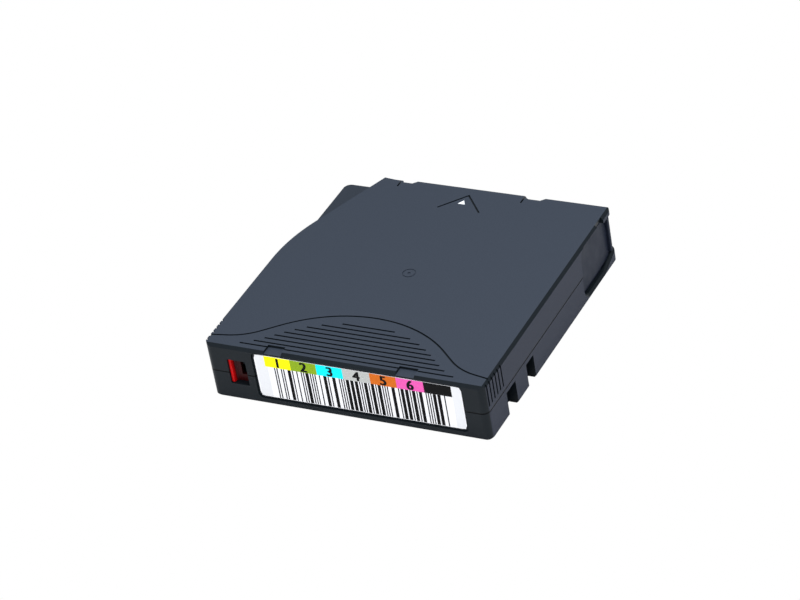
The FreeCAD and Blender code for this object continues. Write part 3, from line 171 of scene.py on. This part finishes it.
# Base colour of the smooth finish, darker than the spark texture: painted shade on grooves, chamfers and
# the rear face.
SMOOTH_SHADE = srgb(19, 25, 30)
TEXTURED = srgb(45, 53, 65)
# Darker, bluer colour for the side faces: painted side shade.
SIDE_SHADE = srgb(35, 41, 56)
# Near-black colour for the parting line: painted shade in the groove between the shells.
SEAM_SHADE = srgb(6, 8, 10)
LID_LEVEL, PARTING_LEVEL, SIDE_PLANE = 21.4, 10.9, 50.9
REAR_STEP_LEVELS, SHELF_LEVELS = (20.2, 20.8), (15.5, 15.7)
MARK_X, MARK_Y, MARK_REACH, MARK_LEVEL = -0.4, 0.2, 3.0, 20.9


def housing():
    """Spark texture on the top, the sides and, at 0.65 strength, the shelf; a smoother finish in grooves,
    chamfers and rear, whose darker base colour is painted shade. The sides carry painted side shade, the
    weaker shelf texture adds painted shade there, and the dark parting line is painted shade in the groove.
    """
    graph = Graph("housing_plastic")
    x, y, z = graph.position()
    normal = graph.normal()
    up = graph.ramp(normal[2], 0.90, 0.97)
    aside = graph.ramp(graph.math("ABSOLUTE", normal[0]), 0.90, 0.97)

    lid = graph.math("MULTIPLY", graph.ramp(z, (LID_LEVEL - 0.02) * MM, (LID_LEVEL + 0.02) * MM), up)
    step = graph.math("MULTIPLY", up, graph.band(z, *REAR_STEP_LEVELS, 0.05))
    # The shelf gets only 0.65 of the spark texture, so the smooth colour adds painted shade there.
    shelf = graph.math("MULTIPLY", up, graph.band(z, *SHELF_LEVELS, 0.05, 0.65))
    outward = graph.math("ABSOLUTE", x)
    side = graph.math("MULTIPLY", aside, graph.ramp(outward, (SIDE_PLANE - 0.05) * MM, SIDE_PLANE * MM))
    across = graph.math("POWER", graph.math("SUBTRACT", x, MARK_X * MM), 2.0)
    along = graph.math("POWER", graph.math("SUBTRACT", y, MARK_Y * MM), 2.0)
    away = graph.math("SQRT", graph.math("ADD", across, along))
    mark = graph.math("MULTIPLY", graph.ramp(away, MARK_REACH * MM, (MARK_REACH - 0.1) * MM),
                      graph.ramp(z, MARK_LEVEL * MM, (MARK_LEVEL + 0.1) * MM))
    # Mask of the spark-texture faces, which keep the lit colour; all other faces get the painted shade.
    textured_and_lit = lid
    for mask in (step, side, mark, shelf):
        textured_and_lit = graph.math("MAXIMUM", textured_and_lit, mask)

    spark = graph.noise(2600.0, 3.0, 0.6)
    # Grain levels for top and sides; the side colour here is painted side shade.
    low = graph.mix(side, darkened(TEXTURED, 0.82), darkened(SIDE_SHADE, 0.82))
    high = graph.mix(side, TEXTURED, SIDE_SHADE)
    fine = graph.mix(graph.ramp(spark, 0.35, 0.65), low, high)
    blotch = graph.ramp(graph.noise(60.0, 2.0), 0.3, 0.7)
    # Outside that mask the darker smooth colour paints shade on grooves, chamfers and the rear face.
    faces = graph.mix(textured_and_lit, graph.mix(blotch, darkened(SMOOTH_SHADE, 0.9), SMOOTH_SHADE), fine)
    # Dark band about 0.3 mm either side of the parting level: painted shade in and beside the groove.
    level = graph.math("ABSOLUTE", graph.math("SUBTRACT", z, PARTING_LEVEL * MM))
    seam_shade = graph.ramp(level, 0.30 * MM, 0.22 * MM)
    graph.link(graph.mix(seam_shade, faces, SEAM_SHADE), graph.shader.inputs["Base Color"])
    graph.link(graph.ramp(textured_and_lit, 0.0, 1.0, 0.38, 0.62), graph.shader.inputs["Roughness"])
    graph.link(graph.ramp(textured_and_lit, 0.0, 1.0, 0.12, 0.25), graph.shader.inputs["Specular IOR Level"])
    graph.bump(spark, graph.ramp(textured_and_lit, 0.0, 1.0, 0.05, 0.55), 0.03 * MM)
    return graph.material


def tab_plastic():
    """Red slider, lit and shaded: the finger ridge is painted lit red, the sunk face painted shade in dark
    red.
    """
    graph = Graph("tab_plastic")
    # Mask of the lit finger ridge; everywhere else on the slider gets the painted dark red shade.
    lit_rib = graph.ramp(graph.position()[1], -50.9 * MM, -51.7 * MM)
    grain = graph.noise(700.0, 3.0)
    shaded_red = graph.mix(graph.ramp(grain, 0.3, 0.7), srgb(38, 0, 2), srgb(48, 2, 4))
    graph.shader.inputs["Specular IOR Level"].default_value = 0.12
    lit_red = graph.mix(graph.ramp(grain, 0.3, 0.7), srgb(176, 4, 6), srgb(196, 6, 8))
    graph.link(graph.mix(lit_rib, shaded_red, lit_red), graph.shader.inputs["Base Color"])
    graph.link(graph.ramp(grain, 0.3, 0.7, 0.34, 0.42), graph.shader.inputs["Roughness"])
    graph.bump(grain, 0.25, 0.02 * MM)
    return graph.material


MATERIALS = {
    "spring_steel": plain("spring_wire", srgb(150, 150, 152), 0.3, 1.0),
    "reel": plain("reel_plastic", srgb(190, 190, 188), 0.5),
    "flange": plain("flange_plastic", srgb(185, 186, 188), 0.4),
    "steel_plate": plain("stamped_steel", srgb(170, 170, 172), 0.35, 1.0),
    "tape": plain("magnetic_tape", srgb(38, 32, 28), 0.3, 0.0, 0.3, 3000.0),
    "pin_steel": plain("turned_steel", srgb(185, 185, 187), 0.28, 1.0),
    "clip": plain("clip_plastic", srgb(50, 50, 52), 0.5),
    "brake": plain("brake_acetal", srgb(205, 205, 198), 0.45),
    "spider": plain("spider_acetal", srgb(200, 200, 192), 0.45),
    "board": plain("board_resist", srgb(25, 95, 55), 0.35),
    "chip": plain("chip_resin", srgb(28, 28, 30), 0.55),
    "screws": plain("plated_steel", srgb(160, 160, 162), 0.3, 1.0),
    "label": plain("label_paper", srgb(240, 240, 243), 0.45, 0.0, 0.03, 1500.0, 0.005),
    "tab": tab_plastic(),
    # Door base colour darkened and blued like the sides: painted side shade.
    "door": plain("door_plastic_side_shade", srgb(27, 33, 47), 0.5, 0.0, 0.1, 900.0, 0.03, gloss=0.12),
    "housing": housing(),
}
SLOT_OF = {}
for entry in frame["record"]["subparts"]:
    SLOT_OF[entry["node"]] = entry["material_slot"]
for node, obj in NODES.items():
    obj.data.materials.clear()
    obj.data.materials.append(MATERIALS[SLOT_OF[node]])


# ---------------------------------------------------------------- printed label and arrow

def flat_piece(name, loops, material):
    """Flat mesh of polygons, each given as a list of points in millimetres."""
    vertices, faces = [], []
    for loop in loops:
        first = len(vertices)
        vertices += [tuple(value * MM for value in point) for point in loop]
        faces.append(tuple(range(first, first + len(loop))))
    mesh = bpy.data.meshes.new(name)
    mesh.from_pydata(vertices, [], faces)
    mesh.materials.append(material)
    obj = bpy.data.objects.new(name, mesh)
    bpy.context.scene.collection.objects.link(obj)
    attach(obj, "case")
    return obj


label_low, label_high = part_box("barcode_label")
LABEL_LEFT, LABEL_RIGHT = label_low.x / MM, label_high.x / MM
PRINT_Y = label_low.y / MM - 0.02


def panel(left, low, right, high, y=PRINT_Y):
    return [(left, y, low), (right, y, low), (right, y, high), (left, y, high)]


CELL_LOW, CELL_HIGH = 15.6, 19.85
CELL_EDGES = [-29.0, -19.4, -9.75, -0.1, 9.85, 19.4, 29.2, 39.1]
CELL_COLOURS = [
    ("yellow_ink", (255, 250, 4)), ("olive_ink", (138, 168, 32)), ("cyan_ink", (10, 236, 250)),
    ("grey_ink", (185, 187, 184)), ("orange_ink", (209, 106, 28)), ("pink_ink", (232, 92, 176)),
    ("black_ink", (5, 5, 6)),
]
INK = {}
for index, (ink, colour) in enumerate(CELL_COLOURS):
    INK[ink] = plain(ink, srgb(*colour), 0.5, 0.0, 0.06, 1500.0, 0.003, gloss=0.08)
    cell = panel(CELL_EDGES[index], CELL_LOW, CELL_EDGES[index + 1], CELL_HIGH)
    flat_piece("printed_cell_" + ink, [cell], INK[ink])

BARS_LEFT, BARS_RIGHT, BARS_LOW = -25.8, 37.3, 3.35
NARROW, WIDE = 0.43, 1.2
GREY_PAPER = plain("grey_paper", srgb(226, 227, 230), 0.5, 0.0, 0.03, 1500.0, 0.003)
PAPER_EDGE, LEFT_MARGIN_END, RIGHT_MARGIN_START = 0.4, -28.2, 39.2
MARGIN_Y = PRINT_Y + 0.005
flat_piece("printed_margins", [
    panel(LABEL_LEFT + PAPER_EDGE, BARS_LOW, LEFT_MARGIN_END, CELL_HIGH, MARGIN_Y),
    panel(RIGHT_MARGIN_START, BARS_LOW, LABEL_RIGHT - PAPER_EDGE, CELL_HIGH, MARGIN_Y),
], GREY_PAPER)
random.seed(11)
bars = []
x = BARS_LEFT
while x < BARS_RIGHT - WIDE:
    wide_places = random.sample(range(9), 3)
    for place in range(9):
        width = WIDE if place in wide_places else NARROW
        if place % 2 == 0 and x + width <= BARS_RIGHT:
            bars.append(panel(x, BARS_LOW, x + width, CELL_LOW - 0.02))
        x += width
    x += NARROW
flat_piece("printed_bars", bars, INK["black_ink"])

DIGIT_SIZE = 5.1
DIGIT_COPIES = [(0.0, 0.0), (-0.22, 0.08), (-0.22, -0.08), (0.22, 0.08), (0.22, -0.08)]


def digit_outline(text):
    """Points and faces of one digit, drawn flat about its middle."""
    curve = bpy.data.curves.new("digit_outline", "FONT")
    curve.body = text
    curve.align_x, curve.align_y = "CENTER", "CENTER"
    curve.size = DIGIT_SIZE
    drawn = bpy.data.objects.new("digit_outline", curve)
    mesh = bpy.data.meshes.new_from_object(drawn)
    points = [(vertex.co.x, vertex.co.y) for vertex in mesh.vertices]
    faces = [tuple(face.vertices) for face in mesh.polygons]
    bpy.data.objects.remove(drawn)
    bpy.data.curves.remove(curve)
    bpy.data.meshes.remove(mesh)
    return points, faces


loops = []
for index in range(6):
    middle = (CELL_EDGES[index] + CELL_EDGES[index + 1]) / 2
    height = (CELL_LOW + CELL_HIGH) / 2 - 0.25
    points, faces = digit_outline(str(index + 1))
    for layer, (aside, above) in enumerate(DIGIT_COPIES):
        depth = PRINT_Y - 0.02 - 0.004 * layer
        for face in faces:
            loops.append([(middle + aside + points[corner][0], depth, height + above + points[corner][1])
                          for corner in face])
flat_piece("printed_digits", loops, INK["black_ink"])

WHITE = plain("white_print", srgb(235, 238, 240), 0.5, 0.0, 0.05, 1500.0, 0.003)
TOP_PRINT_Z = 21.52
ARROW_TIP = [(-1.8, 42.2, TOP_PRINT_Z), (0.9, 42.2, TOP_PRINT_Z), (-0.4, 44.5, TOP_PRINT_Z)]
flat_piece("printed_arrow", [ARROW_TIP], WHITE)


# ---------------------------------------------------------------- brake spring and screws

def solid_piece(name, mesh, material, node):
    """Piece of the housing's body that stands for a CAD node."""
    mesh.materials.append(material)
    obj = bpy.data.objects.new(name, mesh)
    bpy.context.scene.collection.objects.link(obj)
    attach(obj, "case")
    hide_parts(node)
    return obj


def coil_mesh(name, centre_y, radius, wire, low, high, turns, steps=36, sides=10):
    """Round wire wound about the vertical axis."""
    rows, faces = [], []
    count = round(turns * steps)
    climb = (high - low) / (2 * math.pi * turns * radius)
    for step in range(count + 1):
        turn = 2 * math.pi * turns * step / count
        outward = Vector((math.cos(turn), math.sin(turn), 0))
        along = Vector((-math.sin(turn), math.cos(turn), climb)).normalized()
        upward = outward.cross(along)
        middle = outward * radius + Vector((0, centre_y, low + (high - low) * step / count))
        for side in range(sides):
            angle = 2 * math.pi * side / sides
            rows.append((middle + (outward * math.cos(angle) + upward * math.sin(angle)) * wire / 2) * MM)
    for step in range(count):
        for side in range(sides):
            after = (side + 1) % sides
            faces.append((step * sides + side, step * sides + after, (step + 1) * sides + after,
                          (step + 1) * sides + side))
    faces.append(tuple(range(sides)))
    faces.append(tuple(count * sides + side for side in reversed(range(sides))))
    mesh = bpy.data.meshes.new(name)
    mesh.from_pydata([tuple(point) for point in rows], [], faces)
    for polygon in mesh.polygons:
        polygon.use_smooth = len(polygon.vertices) == 4
    return mesh


REEL_AXIS_Y, BRAKE_LIFT = 1.2, 1.8
SPRING_RADIUS, SPRING_WIRE, SPRING_TURNS = 8.6, 0.9, 3.5
END_INSET = 0.43
spring_low, spring_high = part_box("brake_spring")
coil_low, coil_high = spring_low.z / MM + END_INSET, spring_high.z / MM - END_INSET
coil = coil_mesh("brake_spring_wire", REEL_AXIS_Y, SPRING_RADIUS, SPRING_WIRE, coil_low, coil_high,
                 SPRING_TURNS)
spring = solid_piece("brake_spring_wire", coil, MATERIALS["spring_steel"], "brake_spring")
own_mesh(spring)

SCREW_PLACES = [(-43.5, 44.5), (-24.0, 48.0), (24.0, 48.0), (-30.0, -48.0), (24.0, -48.0)]
# radius and level of each ring, from the head's outer face up to the shank's end
SCREW_OUTLINE = [
    (1.45, 4.72), (1.75, 4.85), (1.92, 5.2), (1.92, 6.18), (0.96, 6.18), (0.96, 13.7), (0.5, 14.15),
]


def ring_stack(name, outline, sides):
    """Closed turned form from (radius, level) pairs, lowest first."""
    points, faces = [], []
    for radius, level in outline:
        for side in range(sides):
            angle = 2 * math.pi * side / sides
            points.append((radius * math.cos(angle) * MM, radius * math.sin(angle) * MM, level * MM))
    for row in range(len(outline) - 1):
        for side in range(sides):
            after = (side + 1) % sides
            faces.append((row * sides + side, row * sides + after, (row + 1) * sides + after,
                          (row + 1) * sides + side))
    faces.append(tuple(reversed(range(sides))))
    faces.append(tuple((len(outline) - 1) * sides + side for side in range(sides)))
    mesh = bpy.data.meshes.new(name)
    mesh.from_pydata(points, [], faces)
    return mesh


def cross_mesh(name, reach, half, low, high):
    """Cutter for a cross recess that narrows upwards."""
    ring = [(half, half), (half, reach), (-half, reach), (-half, half), (-reach, half), (-reach, -half),
            (-half, -half), (-half, -reach), (half, -reach), (half, -half), (reach, -half), (reach, half)]
    points = [(x * MM, y * MM, low * MM) for x, y in ring]
    points += [(x * 0.6 * MM, y * 0.6 * MM, high * MM) for x, y in ring]
    count = len(ring)
    faces = [(side, (side + 1) % count, count + (side + 1) % count, count + side) for side in range(count)]
    faces = [tuple(reversed(face)) for face in faces]
    faces.append(tuple(range(count)))
    faces.append(tuple(count + side for side in reversed(range(count))))
    mesh = bpy.data.meshes.new(name)
    mesh.from_pydata(points, [], faces)
    return mesh


def carved(body_mesh, cutter_mesh):
    """The first mesh with the second one cut from it."""
    body = bpy.data.objects.new("carved_body", body_mesh)
    cutter = bpy.data.objects.new("carved_cutter", cutter_mesh)
    for obj in (body, cutter):
        bpy.context.scene.collection.objects.link(obj)
    cut = body.modifiers.new("cut", "BOOLEAN")
    cut.operation, cut.solver, cut.object = "DIFFERENCE", "EXACT", cutter
    graph = bpy.context.evaluated_depsgraph_get()
    made = bpy.data.meshes.new_from_object(body.evaluated_get(graph))
    for obj in (body, cutter):
        bpy.data.objects.remove(obj)
    return made


recess = cross_mesh("screw_recess", 1.1, 0.22, 4.5, 5.5)
one_screw = carved(ring_stack("screw_turned", SCREW_OUTLINE, 32), recess)
points, faces = [], []
for x, y in SCREW_PLACES:
    first = len(points)
    points += [(vertex.co.x + x * MM, vertex.co.y + y * MM, vertex.co.z) for vertex in one_screw.vertices]
    faces += [tuple(first + corner for corner in face.vertices) for face in one_screw.polygons]
screws = bpy.data.meshes.new("cross_head_screws")
screws.from_pydata(points, [], faces)
solid_piece("cross_head_screws", screws, MATERIALS["screws"], "case_screws")


# ---------------------------------------------------------------- stage, light, camera

def backdrop_material():
    material = bpy.data.materials.new("pale_floor")
    material.use_nodes = True
    tree = material.node_tree
    shader = tree.nodes["Principled BSDF"]
    shader.inputs["Base Color"].default_value = (0.8, 0.8, 0.8, 1)
    shader.inputs["Roughness"].default_value = 0.7
    glow = tree.nodes.new("ShaderNodeEmission")
    glow.inputs["Strength"].default_value = 1.0
    rays = tree.nodes.new("ShaderNodeLightPath")
    mix = tree.nodes.new("ShaderNodeMixShader")
    tree.links.new(rays.outputs["Is Camera Ray"], mix.inputs[0])
    tree.links.new(shader.outputs[0], mix.inputs[1])
    tree.links.new(glow.outputs[0], mix.inputs[2])
    tree.links.new(mix.outputs[0], tree.nodes["Material Output"].inputs["Surface"])
    return material


bpy.ops.mesh.primitive_plane_add(size=30.0, location=(0, 0, -0.0002))
floor = bpy.context.object
floor.name = "floor"
floor.data.materials.append(backdrop_material())

world = bpy.data.worlds.new("studio")
bpy.context.scene.world = world
world.use_nodes = True
tree = world.node_tree
background = tree.nodes["Background"]
background.inputs["Color"].default_value = (0.95, 0.97, 1.0, 1)
background.inputs["Strength"].default_value = 0.55
seen = tree.nodes.new("ShaderNodeBackground")
seen.inputs["Color"].default_value = (1, 1, 1, 1)
seen.inputs["Strength"].default_value = 1.0
rays = tree.nodes.new("ShaderNodeLightPath")
mix = tree.nodes.new("ShaderNodeMixShader")
tree.links.new(rays.outputs["Is Camera Ray"], mix.inputs[0])
tree.links.new(background.outputs[0], mix.inputs[1])
tree.links.new(seen.outputs[0], mix.inputs[2])
tree.links.new(mix.outputs[0], tree.nodes["World Output"].inputs["Surface"])


def softbox(name, place, aim, width, height, power, colour=(1, 1, 1)):
    data = bpy.data.lights.new(name, "AREA")
    data.shape = "RECTANGLE"
    data.size, data.size_y = width, height
    data.energy = power
    data.color = colour
    lamp = bpy.data.objects.new(name, data)
    bpy.context.scene.collection.objects.link(lamp)
    lamp.location = place
    lamp.rotation_euler = (Vector(aim) - Vector(place)).to_track_quat("-Z", "Y").to_euler()
    return lamp


softbox("top_light", (0.12, 0.0, 0.6), (0, 0, 0), 0.5, 0.5, 4.4, (0.93, 0.96, 1.0))
softbox("rear_light", (-0.2, -0.9, 0.35), (0, 0, 0.01), 0.6, 0.5, 3.3)
softbox("side_light", (0.9, 0.1, 0.35), (0, 0, 0.01), 0.6, 0.5, 0.9)

RIGHT = (0.8915101, 0.4277068, -0.1492537)
DOWN = (0.1360615, -0.5670837, -0.8123443)
AHEAD = (-0.4320845, 0.7039055, -0.5637553)
PLACE = (0.48609985, -0.80114216, 0.65130455)

camera_data = bpy.data.cameras.new("camera")
camera_data.sensor_width = 36.0
camera_data.lens = 152.395
camera_data.clip_start, camera_data.clip_end = 0.01, 50.0
camera = bpy.data.objects.new("camera", camera_data)
bpy.context.scene.collection.objects.link(camera)
camera.matrix_world = Matrix((
    (RIGHT[0], -DOWN[0], -AHEAD[0], PLACE[0]),
    (RIGHT[1], -DOWN[1], -AHEAD[1], PLACE[1]),
    (RIGHT[2], -DOWN[2], -AHEAD[2], PLACE[2]),
    (0, 0, 0, 1),
))
bpy.context.scene.camera = camera
bpy.context.scene.view_settings.view_transform = "Standard"
